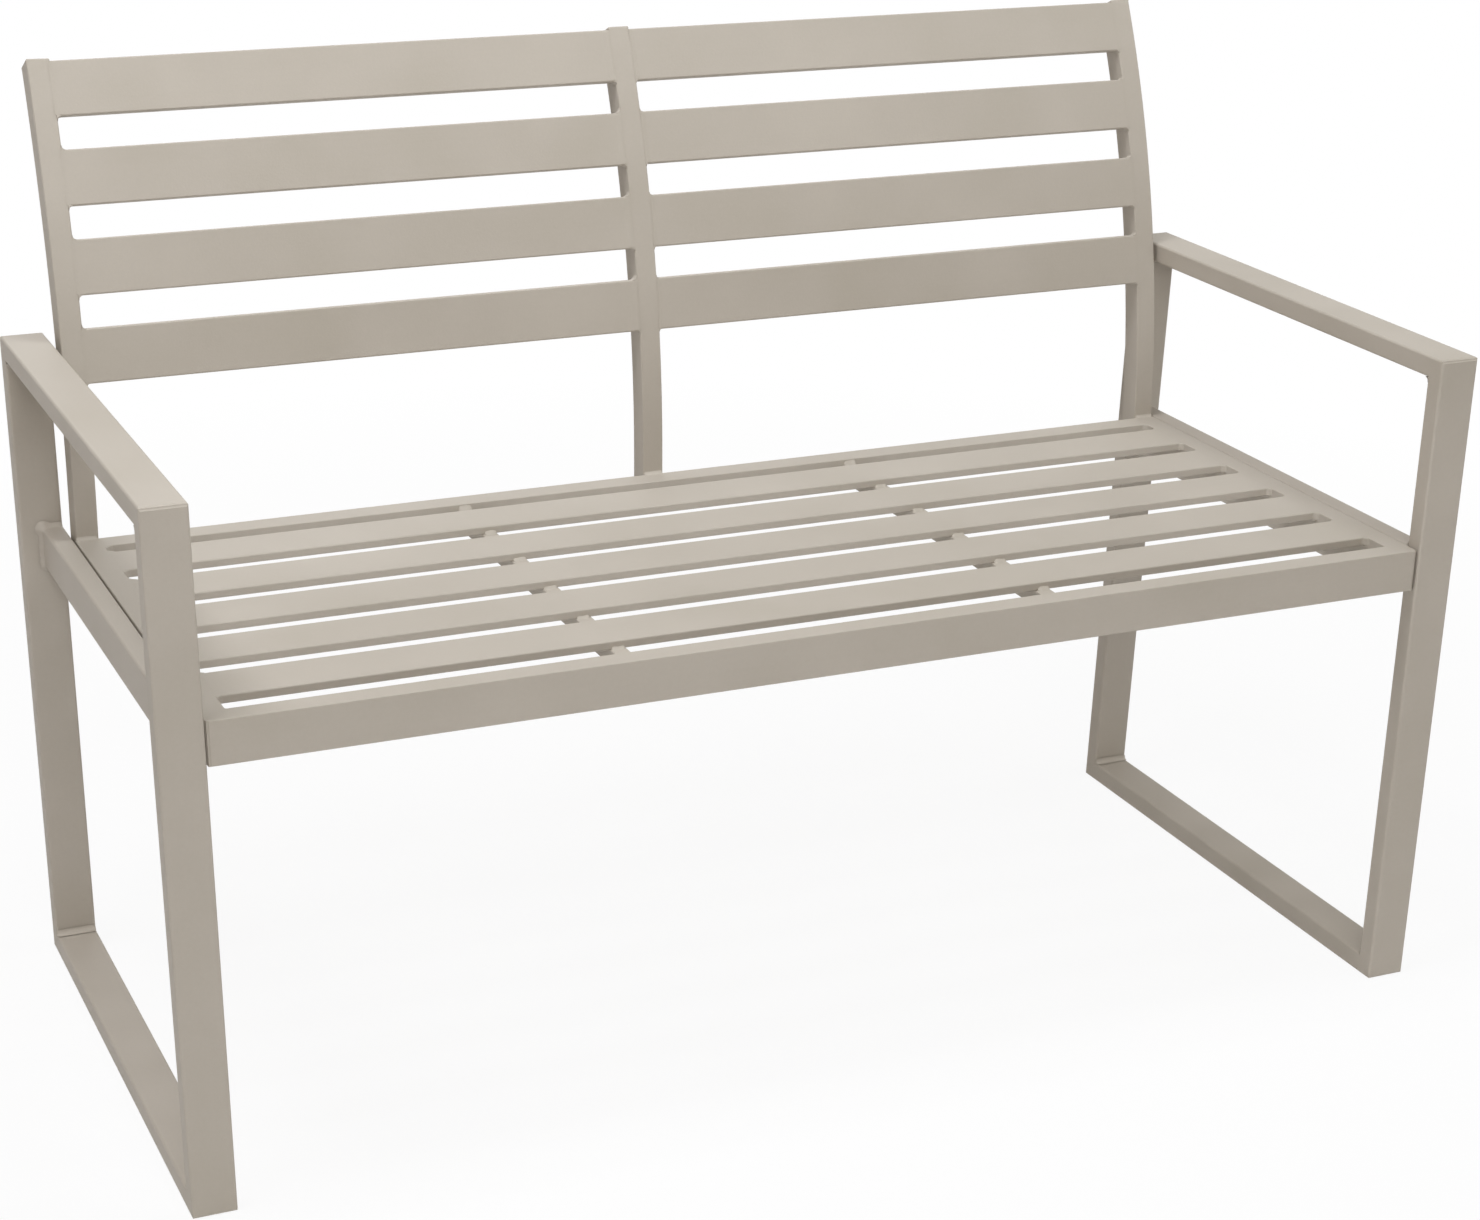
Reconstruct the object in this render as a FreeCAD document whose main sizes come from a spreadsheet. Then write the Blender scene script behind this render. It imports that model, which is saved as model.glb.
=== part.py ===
"""A two-seat garden bench, welded from rectangular tube.

Two closed side frames carry a slatted seat frame between them, and three bent stiles stand behind the
seat and carry the back slats. X runs along the bench, Y from front to back, and Z up. The origin lies on
the floor, in the middle of the bench's length and depth.
"""
import FreeCAD
import Part
import os
import re
import Sketcher
from FreeCAD import Vector

SIZES = {
    # whole bench
    "bench_length": 1250,
    "arm_height": 638,
    "seat_height": 455,
    "arm_depth": 552,
    "rear_leg_rake": 2.1,
    # tube of the side frames, the seat frame and the stiles
    "frame_tube_width": 40,
    "frame_tube_depth": 20,
    "tube_wall": 1.5,
    "tube_corner": 2.5,
    "ground_corner": 3,
    "rail_corner": 1,
    "stretcher_width": 20,
    # seat
    "seat_gap": 1.2,
    "seat_setback": 2.5,
    "seat_depth": 485,
    "rail_height": 40,
    "rail_thickness": 22,
    "rear_rail_thickness": 25,
    "rear_rail_height": 25,
    "seat_slat_count": 5,
    "seat_slat_width": 55,
    "rear_slot": 18.5,
    "front_slot": 29.5,
    "slat_thickness": 8,
    "slat_wall": 1.2,
    "slat_corner": 1.5,
    "bearer_offset": 208.5,
    "bearer_width": 15,
    "bearer_height": 15,
    "bearer_corner": 1,
    # back
    "stile_width": 21,
    "stile_depth": 26,
    "stile_flat": 0.8,
    "stile_lean": 1.3,
    "bend_height": 472,
    "bend_radius": 950,
    "stile_arc": 419,
    "back_slat_count": 4,
    "back_slat_width": 50,
    "back_slat_pitch": 80,
    "back_slat_inset": 0.5,
    "cap_thickness": 2.5,
    "cap_edge": 1.5,
    # clearance that a weld fills
    "weld_gap": 0.1,
    # flanged bolts of the seat frame, with their rivet nuts
    "side_bolt_size": 8,
    "side_bolt_hex": 13,
    "side_bolt_head": 5.3,
    "side_bolt_flange": 17,
    "side_flange_height": 1.6,
    "side_bolt_inset": 115,
    "side_bolt_tail": 16,
    "rivet_nut_body": 11,
    "rivet_nut_flange": 13.5,
    "rivet_nut_length": 13,
    "hole_clearance": 0.25,
    "thread_clearance": 0.1,
}

# Values worked out from the sizes. Angles are in degrees.
FORMULAS = {
    "frame_inner": "bench_length / 2 - frame_tube_width",
    "seat_half": "frame_inner - seat_gap",
    "seat_bottom": "seat_height - rail_height",
    "rear_bottom": "seat_height - rear_rail_height",
    "slat_bottom": "seat_height - slat_thickness",
    "foot_depth": "arm_depth + arm_height * tan(rear_leg_rake)",
    "back_sweep": "stile_arc / bend_radius * 180 / pi",
    "stile_straight": "bend_height - seat_bottom",
    "cap_reach": "cap_thickness * sin(back_sweep) - cap_edge * (cos(back_sweep) + sin(back_sweep) - 1)",
    "back_reach": "bend_radius * (1 - cos(back_sweep)) + stile_depth * cos(back_sweep) + cap_reach",
    "whole_depth": "seat_setback + seat_depth + back_reach",
    "front_plane": "-whole_depth / 2",
    "seat_front": "front_plane + seat_setback",
    "stile_front": "seat_front + seat_depth",
    "bolt_height": "seat_height - rail_height / 2",
    "slats_depth": "seat_depth - rail_thickness - rear_rail_thickness - rear_slot - front_slot",
    "seat_slat_pitch": "(slats_depth - seat_slat_width) / (seat_slat_count - 1)",
}

doc = FreeCAD.newDocument("garden_bench")
sheet = doc.addObject("Spreadsheet::Sheet", "Sizes")
for row, (name, size) in enumerate(SIZES.items(), start=1):
    sheet.set(f"A{row}", name)
    sheet.set(f"B{row}", str(size))
    sheet.setAlias(f"B{row}", name)
doc.recompute()

parts = []


def formula(text):
    """A formula in plain names, written as an expression over the sheet's cells."""

    def spell(match):
        word = match.group(0)
        if word in FORMULAS:
            return f"({formula(FORMULAS[word])})"
        return f"Sizes.{word}" if word in SIZES else word

    return re.sub(r"[a-z_]+", spell, str(text))


def value(text):
    """The present value of a formula."""
    return float(sheet.evalExpression(formula(text)))


def bind(thing, prop, text):
    """Bind a property of an object to a formula."""
    thing.setExpression(prop, formula(text))


def add_loop(sketch, corners, arcs=None):
    """Add a closed loop to a sketch.

    corners holds (x, y) formulas. arcs maps the number of a side to its radius and to the side on which
    its centre lies: 1 for the left of the way round, and -1 for the right.
    """
    arcs = arcs or {}
    points = [Vector(value(x), value(y), 0) for x, y in corners]
    ends = []
    for side, start in enumerate(points):
        end = points[(side + 1) % len(points)]
        if side not in arcs:
            line = sketch.addGeometry(Part.LineSegment(start, end))
            ends.append((line, 1, 2))
            continue
        radius, hand = arcs[side]
        chord = end - start
        left = Vector(-chord.y, chord.x, 0).normalize()
        sagitta = (value(radius) ** 2 - (chord.Length / 2) ** 2) ** 0.5
        centre = (start + end) / 2 + left * sagitta * hand
        middle = centre + ((start + end) / 2 - centre).normalize() * value(radius)
        curve = sketch.addGeometry(Part.Arc(start, middle, end))
        ends.append((curve, 1, 2) if hand > 0 else (curve, 2, 1))
        limit = sketch.addConstraint(Sketcher.Constraint("Radius", curve, value(radius)))
        bind(sketch, f"Constraints[{limit}]", radius)
    for side, (edge, _, last) in enumerate(ends):
        following, first, _ = ends[(side + 1) % len(ends)]
        sketch.addConstraint(Sketcher.Constraint("Coincident", edge, last, following, first))
    for corner, texts in enumerate(corners):
        edge, end, _ = ends[corner]
        for kind, axis, distance, text in zip(("DistanceX", "DistanceY"), (-2, -1), points[corner], texts):
            if text == "0":
                sketch.addConstraint(Sketcher.Constraint("PointOnObject", edge, end, axis))
                continue
            limit = sketch.addConstraint(Sketcher.Constraint(kind, -1, 1, edge, end, distance))
            bind(sketch, f"Constraints[{limit}]", text)


def add_eased_box(sketch, low_x, high_x, low_y, high_y, corner, flat=False):
    """Add a rectangle whose corners are rounded, or cut off by small flats, to a sketch."""
    near_x, far_x = f"{low_x} + {corner}", f"{high_x} - {corner}"
    near_y, far_y = f"{low_y} + {corner}", f"{high_y} - {corner}"
    corners = [
        (near_x, low_y), (far_x, low_y),
        (high_x, near_y), (high_x, far_y),
        (far_x, high_y), (near_x, high_y),
        (low_x, far_y), (low_x, near_y),
    ]
    add_loop(sketch, corners, None if flat else {side: (corner, 1) for side in (1, 3, 5, 7)})


def add_box(sketch, low_x, high_x, low_y, high_y):
    """Add a plain rectangle to a sketch."""
    add_loop(sketch, [(low_x, low_y), (high_x, low_y), (high_x, high_y), (low_x, high_y)])


def add_axis(sketch, height):
    """Add a level construction line to a sketch, as the axis of a turn."""
    start, end = Vector(0, value(height), 0), Vector(1, value(height), 0)
    axis = sketch.addGeometry(Part.LineSegment(start, end), True)
    sketch.addConstraint(Sketcher.Constraint("Horizontal", axis))
    limit = sketch.addConstraint(Sketcher.Constraint("DistanceY", -1, 1, axis, 1, start.y))
    bind(sketch, f"Constraints[{limit}]", height)


def new_body(label):
    """An empty body that becomes one named part of the bench."""
    body = doc.addObject("PartDesign::Body", f"body_{label}")
    body.Label = label
    parts.append(body)
    return body


def new_sketch(body, plane, name):
    """A sketch on one of the body's own planes."""
    sketch = body.newObject("Sketcher::SketchObject", f"{name}_{body.Label}")
    sketch.AttachmentSupport = [(next(p for p in body.Origin.OriginFeatures if p.Role == plane), "")]
    sketch.MapMode = "FlatFace"
    return sketch


def add_tube_profile(sketch, low_x, high_x, low_y, high_y, wall, corner, flat=False):
    """Add the section of a rectangular tube to a sketch."""
    add_eased_box(sketch, low_x, high_x, low_y, high_y, corner, flat)
    add_box(sketch, f"{low_x} + {wall}", f"{high_x} - {wall}", f"{low_y} + {wall}", f"{high_y} - {wall}")


def tube(label, plane, section, length, wall="tube_wall", corner="tube_corner", both_ways=False, back=False):
    """A straight tube: its section in the given plane, padded along the plane's normal."""
    body = new_body(label)
    profile = new_sketch(body, plane, "profile")
    add_tube_profile(profile, *section, wall, corner)
    pad = body.newObject("PartDesign::Pad", f"pad_{label}")
    pad.Profile = profile
    pad.SideType = "Symmetric" if both_ways else "One side"
    pad.Reversed = back
    bind(pad, "Length", length)
    doc.recompute()
    return body


def cut(body, plane, corners, arcs=None):
    """Cut an outline right through a body, square to one of its planes."""
    before = body.Shape.Volume
    number = len(body.Group)
    outline = new_sketch(body, plane, f"outline{number}")
    add_loop(outline, corners, arcs)
    pocket = body.newObject("PartDesign::Pocket", f"cut{number}_{body.Label}")
    pocket.Profile = outline
    pocket.SideType = "Symmetric"
    pocket.Type = "ThroughAll"
    doc.recompute()
    if not body.Shape.Volume < before:
        raise ValueError(f"a cut takes nothing from {body.Label}")


def drill(body, plane, centres, size, depth=None, onward=False):
    """Drill round holes: right through, or to a depth from the plane, onward along its normal or back."""
    before = body.Shape.Volume
    number = len(body.Group)
    circles = new_sketch(body, plane, f"holes{number}")
    for x, y in centres:
        centre = Vector(value(x), value(y), 0)
        circle = circles.addGeometry(Part.Circle(centre, Vector(0, 0, 1), value(size) / 2))
        for kind, distance, text in (("DistanceX", centre.x, x), ("DistanceY", centre.y, y)):
            limit = circles.addConstraint(Sketcher.Constraint(kind, -1, 1, circle, 3, distance))
            bind(circles, f"Constraints[{limit}]", text)
        limit = circles.addConstraint(Sketcher.Constraint("Diameter", circle, value(size)))
        bind(circles, f"Constraints[{limit}]", size)
    pocket = body.newObject("PartDesign::Pocket", f"drill{number}_{body.Label}")
    pocket.Profile = circles
    if depth is None:
        pocket.SideType = "Symmetric"
        pocket.Type = "ThroughAll"
    else:
        pocket.Reversed = onward
        bind(pocket, "Length", depth)
    doc.recompute()
    if not body.Shape.Volume < before:
        raise ValueError(f"a drill takes nothing from {body.Label}")


def place(thing, x="0", y="0", z="0", axis=Vector(1, 0, 0), turn="0"):
    """Put an object at a point, turned about an axis through it."""
    thing.Placement = FreeCAD.Placement(Vector(), FreeCAD.Rotation(axis, value(turn)))
    for prop, text in (("Base.x", x), ("Base.y", y), ("Base.z", z), ("Rotation.Angle", turn)):
        if text != "0":
            bind(thing, f"Placement.{prop}", text)


def mitre(outer, inner, end, step, corner_angle):
    """The outline that a mitre with a ground outer corner takes off a tube's end.

    outer and inner are the tube's two faces, end is the place of its outer corner, step is 1 when the
    tube runs on towards higher values and -1 when it runs back, and corner_angle is the angle between the
    two tubes. The mitre line halves it, and the ground corner is an arc about a point on that line.
    """
    half = f"({corner_angle}) / 2"
    across = f"({outer} - ({inner}))"
    depth = f"abs{across}"
    lean = f"{across} / {depth}"
    run = f"({step})"
    touch = f"{end} + {run} * ground_corner / tan({half})"
    middle_across = f"{outer} - {lean} * ground_corner * (1 - sin({half}))"
    middle_along = f"{end} + {run} * ground_corner * (1 / sin({half}) - 1) * cos({half})"
    reach = f"{end} + {run} * {depth} / tan({half})"
    return [(outer, end), (outer, touch), (middle_across, middle_along), (inner, reach), (inner, end)]


def cut_mitre(body, plane, outer, inner, end, step, corner_angle="90", swap=False):
    """Cut a ground mitre on a tube's end. swap puts the tube's length on the sketch's first axis."""
    corners = mitre(outer, inner, end, step, corner_angle)
    hand = 1 if (value(outer) < value(inner)) == (step > 0) else -1
    if swap:
        corners = [(along, across) for across, along in corners]
        hand = -hand
    # the arc bulges towards the outer corner, so its centre lies on the tube's side of it
    cut(body, plane, corners, {1: ("ground_corner", -hand)})


def side_frame(side, hand):
    """One closed side frame: four mitred tubes, and a stretcher between the legs at seat height."""
    centre = f"{hand} * (bench_length - frame_tube_width) / 2"
    section = ("-frame_tube_width / 2", "frame_tube_width / 2", "0", "frame_tube_depth")
    leg_length = "arm_height / cos(rear_leg_rake)"
    top_angle = "90 + rear_leg_rake"
    foot_angle = "90 - rear_leg_rake"

    front_leg = tube(f"{side}_front_leg", "XY_Plane", section, "arm_height")
    cut_mitre(front_leg, "YZ_Plane", "0", "frame_tube_depth", "0", 1)
    cut_mitre(front_leg, "YZ_Plane", "0", "frame_tube_depth", "arm_height", -1)
    place(front_leg, centre, "front_plane")

    # the rear leg leans forwards as it rises, about the outer corner of its foot
    behind = ("-frame_tube_width / 2", "frame_tube_width / 2", "-frame_tube_depth", "0")
    rear_leg = tube(f"{side}_rear_leg", "XY_Plane", behind, leg_length)
    cut_mitre(rear_leg, "YZ_Plane", "0", "-frame_tube_depth", "0", 1, foot_angle)
    cut_mitre(rear_leg, "YZ_Plane", "0", "-frame_tube_depth", leg_length, -1, top_angle)
    place(rear_leg, centre, "front_plane + foot_depth", turn="rear_leg_rake")

    # level tubes are turned so that their length runs backwards and their depth runs down
    armrest = tube(f"{side}_armrest", "XY_Plane", section, "arm_depth")
    cut_mitre(armrest, "YZ_Plane", "0", "frame_tube_depth", "0", 1)
    cut_mitre(armrest, "YZ_Plane", "0", "frame_tube_depth", "arm_depth", -1, top_angle)
    place(armrest, centre, "front_plane", "arm_height", turn="-90")

    runner = tube(f"{side}_floor_runner", "XY_Plane", behind, "foot_depth")
    cut_mitre(runner, "YZ_Plane", "0", "-frame_tube_depth", "0", 1)
    cut_mitre(runner, "YZ_Plane", "0", "-frame_tube_depth", "foot_depth", -1, foot_angle)
    place(runner, centre, "front_plane", turn="-90")

    # the stretcher's inner face is flush with the legs, and its rear end follows the rake
    gap = "frame_tube_depth + weld_gap"
    rear_face = "arm_depth - frame_tube_depth / cos(rear_leg_rake) - weld_gap"
    top_end = f"{rear_face} + (arm_height - seat_height) * tan(rear_leg_rake) - ({gap})"
    low_end = f"{rear_face} + (arm_height - seat_bottom) * tan(rear_leg_rake) - ({gap})"
    sides = ("0", "stretcher_width") if hand > 0 else ("-stretcher_width", "0")
    stretcher = tube(f"{side}_side_stretcher", "XY_Plane", (*sides, "0", "rail_height"), low_end)
    cut(stretcher, "YZ_Plane", [("0", top_end), ("rail_height", low_end), ("0", low_end)])
    centres = [("rail_height / 2", f"{place_y} - front_plane - ({gap})") for place_y in side_bolt_places()]
    drill(stretcher, "YZ_Plane", centres, "rivet_nut_body + 2 * hole_clearance",
          "tube_wall + hole_clearance", onward=hand > 0)
    place(stretcher, f"{hand} * frame_inner", f"front_plane + {gap}", "seat_height", turn="-90")


def side_bolt_places():
    """Where the bolts of each side stand, from front to back."""
    return ["seat_front + side_bolt_inset", "stile_front - side_bolt_inset"]


def seat_frame():
    """Rails of the seat: front and side rails meet in mitres, and the rear rail stands between the sides."""
    heights = ("seat_bottom", "seat_height")
    front = tube("seat_front_rail", "YZ_Plane", ("0", "rail_thickness", *heights), "2 * seat_half",
                 corner="rail_corner", both_ways=True)
    cut_mitre(front, "XY_Plane", "0", "rail_thickness", "-seat_half", 1, swap=True)
    cut_mitre(front, "XY_Plane", "0", "rail_thickness", "seat_half", -1, swap=True)
    place(front, y="seat_front")

    rear_section = ("-rear_rail_thickness", "0", "rear_bottom", "seat_height")
    rear_length = "2 * (seat_half - rail_thickness - weld_gap)"
    rear = tube("seat_rear_rail", "YZ_Plane", rear_section, rear_length, corner="rail_corner", both_ways=True)
    place(rear, y="stile_front")

    for side, hand in (("left", -1), ("right", 1)):
        thick = ("-rail_thickness", "0") if hand > 0 else ("0", "rail_thickness")
        inner = f"{-hand} * rail_thickness"
        rail = tube(f"seat_{side}_rail", "XY_Plane", (*thick, "0", "rail_height"), "seat_depth",
                    corner="rail_corner")
        cut_mitre(rail, "XZ_Plane", "0", inner, "0", 1)
        centres = [("rail_height / 2", f"{place_y} - seat_front") for place_y in side_bolt_places()]
        drill(rail, "YZ_Plane", centres, "side_bolt_size + 2 * hole_clearance")
        place(rail, f"{hand} * seat_half", "seat_front", "seat_height", turn="-90")


def seat_slats():
    """Slats between the side rails, and the two bearers that carry them in the middle."""
    reach = "2 * (seat_half - rail_thickness - weld_gap)"
    first = "stile_front - rear_rail_thickness - rear_slot"
    for number in range(value_count("seat_slat_count")):
        section = ("-seat_slat_width", "0", "slat_bottom", "seat_height")
        slat = tube(f"seat_slat_{number + 1}", "YZ_Plane", section, reach, "slat_wall", "slat_corner",
                    both_ways=True)
        place(slat, y=f"{first} - {number} * seat_slat_pitch")
    for side, hand in (("left", -1), ("right", 1)):
        section = ("-bearer_width / 2", "bearer_width / 2", "0", "bearer_height")
        length = "seat_depth - rail_thickness - rear_rail_thickness - 2 * weld_gap"
        bearer = tube(f"{side}_slat_bearer", "XY_Plane", section, length, "slat_wall", "bearer_corner")
        front_end = "seat_front + rail_thickness + weld_gap"
        place(bearer, f"{hand} * bearer_offset", front_end, "slat_bottom", turn="-90")


def value_count(name):
    """A size that is a whole number."""
    return int(round(value(name)))


def back_stiles():
    """Three bent tubes that stand behind the seat, with a cap on top of each.

    The outer ones stand against the side rails' ends, and the middle one against the rear rail. The front
    face rises straight from the foot and then follows an arc about a point behind the bench. The outer
    stiles lean in towards the middle as they rise.
    """
    for side, hand in (("left", -1), ("centre", 0), ("right", 1)):
        sides = {
            -1: ("0", "stile_width"),
            0: ("-stile_width / 2", "stile_width / 2"),
            1: ("-stile_width", "0"),
        }[hand]
        foot_height = "seat_bottom" if hand else "rear_bottom"
        straight = f"(bend_height - {foot_height})"
        section = (*sides, "0", "stile_depth", "tube_wall", "stile_flat", True)
        stile = new_body(f"back_{side}_stile")
        foot = new_sketch(stile, "XY_Plane", "foot")
        add_tube_profile(foot, *section)
        upright = stile.newObject("PartDesign::Pad", f"upright_{stile.Label}")
        upright.Profile = foot
        bind(upright, "Length", straight)
        bend = new_sketch(stile, "XY_Plane", "bend")
        bind(bend, "AttachmentOffset.Base.z", straight)
        add_tube_profile(bend, *section)
        add_axis(bend, "bend_radius")
        swing = stile.newObject("PartDesign::Revolution", f"swing_{stile.Label}")
        swing.Profile = bend
        swing.ReferenceAxis = (bend, ["Axis0"])
        swing.Reversed = True
        bind(swing, "Angle", "back_sweep")
        doc.recompute()
        place_stile(stile, hand, foot_height)

        cap = new_body(f"{side}_stile_cap")
        outline = new_sketch(cap, "YZ_Plane", "outline")
        end = ("bend_radius * (1 - cos(back_sweep))", f"{straight} + bend_radius * sin(back_sweep)")
        rear = (f"{end[0]} + stile_depth * cos(back_sweep)", f"{end[1]} - stile_depth * sin(back_sweep)")
        rise = ("cap_thickness * sin(back_sweep)", "cap_thickness * cos(back_sweep)")
        lift = [(f"{corner[0]} + {rise[0]}", f"{corner[1]} + {rise[1]}") for corner in (rear, end)]
        add_loop(outline, [end, rear, *lift])
        pad = cap.newObject("PartDesign::Pad", f"pad_{cap.Label}")
        pad.Profile = outline
        pad.SideType = "One side" if hand else "Symmetric"
        pad.Reversed = hand > 0
        bind(pad, "Length", "stile_width")
        doc.recompute()
        up = Vector(0, rise_part("sin"), rise_part("cos"))
        top = max(range(len(pad.Shape.Faces)), key=lambda face: pad.Shape.Faces[face].CenterOfMass.dot(up))
        edge = cap.newObject("PartDesign::Fillet", f"fillet_{cap.Label}")
        edge.Base = (pad, [f"Face{top + 1}"])
        bind(edge, "Radius", "cap_edge")
        doc.recompute()
        place_stile(cap, hand, foot_height)


def rise_part(function):
    """One part of the stile's direction at its top."""
    return value(f"{function}(back_sweep)")


def place_stile(thing, hand, foot_height):
    """Stand a stile, or its cap, behind the seat: an outer one leans in about its foot."""
    foot = (f"{hand} * seat_half", "stile_front", foot_height)
    place(thing, *foot, Vector(0, 1, 0), f"{-hand} * stile_lean")


def back_slats():
    """Four slats in each bay, each one square to the stiles' curve, with its outer end cut to their lean."""
    middle = "stile_width / 2 + weld_gap"
    for number in range(value_count("back_slat_count")):
        along = f"(stile_arc - back_slat_inset - back_slat_width / 2 - {number} * back_slat_pitch)"
        angle = f"({along} / bend_radius * 180 / pi)"
        half_rise = f"back_slat_width / 2 * cos({angle})"
        climb = f"(stile_straight + bend_radius * sin({angle}))"
        face = "(seat_half - stile_width / cos(stile_lean) - weld_gap)"
        low_end = f"{face} - ({climb} - {half_rise}) * tan(stile_lean) - ({middle})"
        high_end = f"{face} - ({climb} + {half_rise}) * tan(stile_lean) - ({middle})"
        for side, hand in (("left", -1), ("right", 1)):
            # the slat's width is upright in its own frame, and its front face is at y = 0
            upright = ("0", "slat_thickness", "-back_slat_width / 2", "back_slat_width / 2")
            slat = tube(f"back_{side}_slat_{number + 1}", "YZ_Plane", upright, low_end, "slat_wall",
                        "slat_corner", back=hand < 0)
            cut(slat, "XZ_Plane", [
                (f"{hand} * ({low_end})", "-back_slat_width / 2"),
                (f"{hand} * ({low_end})", "back_slat_width / 2"),
                (f"{hand} * ({high_end})", "back_slat_width / 2"),
            ])
            place(slat, f"{hand} * ({middle})", f"stile_front + bend_radius * (1 - cos({angle}))",
                  f"seat_bottom + {climb}", turn=f"-{angle}")


def group(label, pieces):
    """Identical pieces that share one node, each one a solid of its own."""
    compound = doc.addObject("Part::Compound", f"group_{label}")
    compound.Label = label
    compound.Links = pieces
    parts.append(compound)


def cylinder(name, size, length, x, y, z, axis, turn):
    """A round bar that starts at a point and runs along one direction."""
    bar = doc.addObject("Part::Cylinder", name)
    bind(bar, "Radius", f"({size}) / 2")
    bind(bar, "Height", length)
    place(bar, x, y, z, axis, turn)
    return bar


def hexagon(name, across_flats, height, x, y, z, axis, turn):
    """A hexagonal head or nut that starts at a point and runs along one direction."""
    prism = doc.addObject("Part::Prism", name)
    prism.Polygon = 6
    bind(prism, "Circumradius", f"{across_flats} / sqrt(3)")
    bind(prism, "Height", height)
    place(prism, x, y, z, axis, turn)
    return prism


def joined(name, base, tool):
    """Two overlapping shapes made one."""
    fuse = doc.addObject("Part::Fuse", name)
    fuse.Base = base
    fuse.Tool = tool
    return fuse


def bored(name, base, tool):
    """One shape with another taken out of it."""
    bore = doc.addObject("Part::Cut", name)
    bore.Base = base
    bore.Tool = tool
    return bore


def side_fasteners():
    """Flanged bolts through the seat's side rails into rivet nuts, which hold seat and side frame apart."""
    bolts, nuts = [], []
    shank_length = "side_bolt_head + rail_thickness + seat_gap + side_bolt_tail"
    nut_length = "rivet_nut_length + seat_gap"
    for side, hand in (("left", -1), ("right", 1)):
        inner_face = f"{hand} * (seat_half - rail_thickness)"
        outer_face = f"{hand} * seat_half"
        head_face = f"{inner_face} - {hand} * side_bolt_head"
        flange_face = f"{inner_face} - {hand} * side_flange_height"
        for number, y in enumerate(side_bolt_places(), start=1):
            tag = f"{side}_{number}"
            spot = (y, "bolt_height", Vector(0, 1, 0), f"{hand} * 90")
            head = hexagon(f"head_{tag}", "side_bolt_hex", "side_bolt_head", head_face, *spot)
            flange = cylinder(f"flange_{tag}", "side_bolt_flange", "side_flange_height", flange_face, *spot)
            shank = cylinder(f"shank_{tag}", "side_bolt_size", shank_length, head_face, *spot)
            bolts.append(joined(f"bolt_{tag}", joined(f"bolt_head_{tag}", head, flange), shank))
            collar = cylinder(f"collar_{tag}", "rivet_nut_flange", "seat_gap", outer_face, *spot)
            barrel = cylinder(f"barrel_{tag}", "rivet_nut_body", nut_length, outer_face, *spot)
            thread_size = "side_bolt_size + 2 * thread_clearance"
            thread = cylinder(f"thread_{tag}", thread_size, nut_length, outer_face, *spot)
            nuts.append(bored(f"rivet_nut_{tag}", joined(f"nut_blank_{tag}", collar, barrel), thread))
    group("side_bolts", bolts)
    group("side_rivet_nuts", nuts)


side_frame("left", -1)
side_frame("right", 1)
seat_frame()
seat_slats()
back_stiles()
back_slats()
side_fasteners()
doc.recompute()

for thing in doc.Objects:
    if "Invalid" in thing.State or "Error" in thing.State:
        raise ValueError(f"{thing.Label} failed: {thing.State}")
for part in parts:
    if part.Shape.isNull() or not part.Shape.isValid():
        raise ValueError(f"{part.Label} has no valid shape")

os.makedirs("parts", exist_ok=True)
for part in parts:
    part.Shape.exportStep(f"parts/{part.Label}.step")
box = Part.makeCompound([part.Shape for part in parts]).optimalBoundingBox(False, False)
volume = sum(part.Shape.Volume for part in parts)
lengths = f"{box.XLength:.1f} x {box.YLength:.1f} x {box.ZLength:.1f} mm"
print(f"{len(parts)} nodes, {lengths}, {volume / 1000:.0f} cm3")
print(f"middle of the depth at {box.Center.y:.3f}, lowest point at {box.ZMin:.3f}")
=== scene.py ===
# %% [markdown]
# # A welded garden bench in a taupe powder coat
#
# The real bench is made of straight and bent metal tube, welded, ground smooth and then coated in
# one colour. Its tubes arrive here as finished meshes. This lesson gives them their coat, adds
# the welds that join them, and sets up the camera, the floor and the lights.

# %% Load the tubes
import bpy
import math
import numpy as np
from mathutils import Matrix, Vector


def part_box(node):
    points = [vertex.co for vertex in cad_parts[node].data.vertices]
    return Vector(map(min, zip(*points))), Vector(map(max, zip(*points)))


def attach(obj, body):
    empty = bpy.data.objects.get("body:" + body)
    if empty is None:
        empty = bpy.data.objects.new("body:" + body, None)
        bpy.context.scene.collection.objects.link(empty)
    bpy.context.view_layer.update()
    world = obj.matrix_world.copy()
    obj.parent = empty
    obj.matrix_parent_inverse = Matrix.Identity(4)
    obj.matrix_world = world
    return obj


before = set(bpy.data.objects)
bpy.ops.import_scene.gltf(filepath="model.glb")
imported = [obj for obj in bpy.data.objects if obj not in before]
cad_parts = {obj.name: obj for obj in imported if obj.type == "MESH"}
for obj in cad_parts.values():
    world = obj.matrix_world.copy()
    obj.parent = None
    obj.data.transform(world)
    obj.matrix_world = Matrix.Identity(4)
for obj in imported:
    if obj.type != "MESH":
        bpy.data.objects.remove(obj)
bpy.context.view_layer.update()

# %% [markdown]
# ## The camera
#
# A camera could be aimed by eye, but here every straight tube of the bench gives a line to fit,
# so the camera's place and turn were worked out from them. The picture was cropped towards its
# top, which is why the lens is shifted: without the shift the legs would lean too much towards
# each other.

# %% Place the camera
MM = 0.001
IMAGE_WIDTH, IMAGE_HEIGHT = 1480, 1220
FOCAL_PIXELS = 2909.1
AXIS_ROW = 900
EYE = (-1.07131, -2.44289, 1.33402)

camera_data = bpy.data.cameras.new("product_view")
camera_data.sensor_fit = "HORIZONTAL"
camera_data.sensor_width = 36
camera_data.lens = FOCAL_PIXELS / IMAGE_WIDTH * camera_data.sensor_width
camera_data.shift_y = (AXIS_ROW - IMAGE_HEIGHT / 2) / IMAGE_WIDTH
camera_data.clip_end = 100

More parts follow.
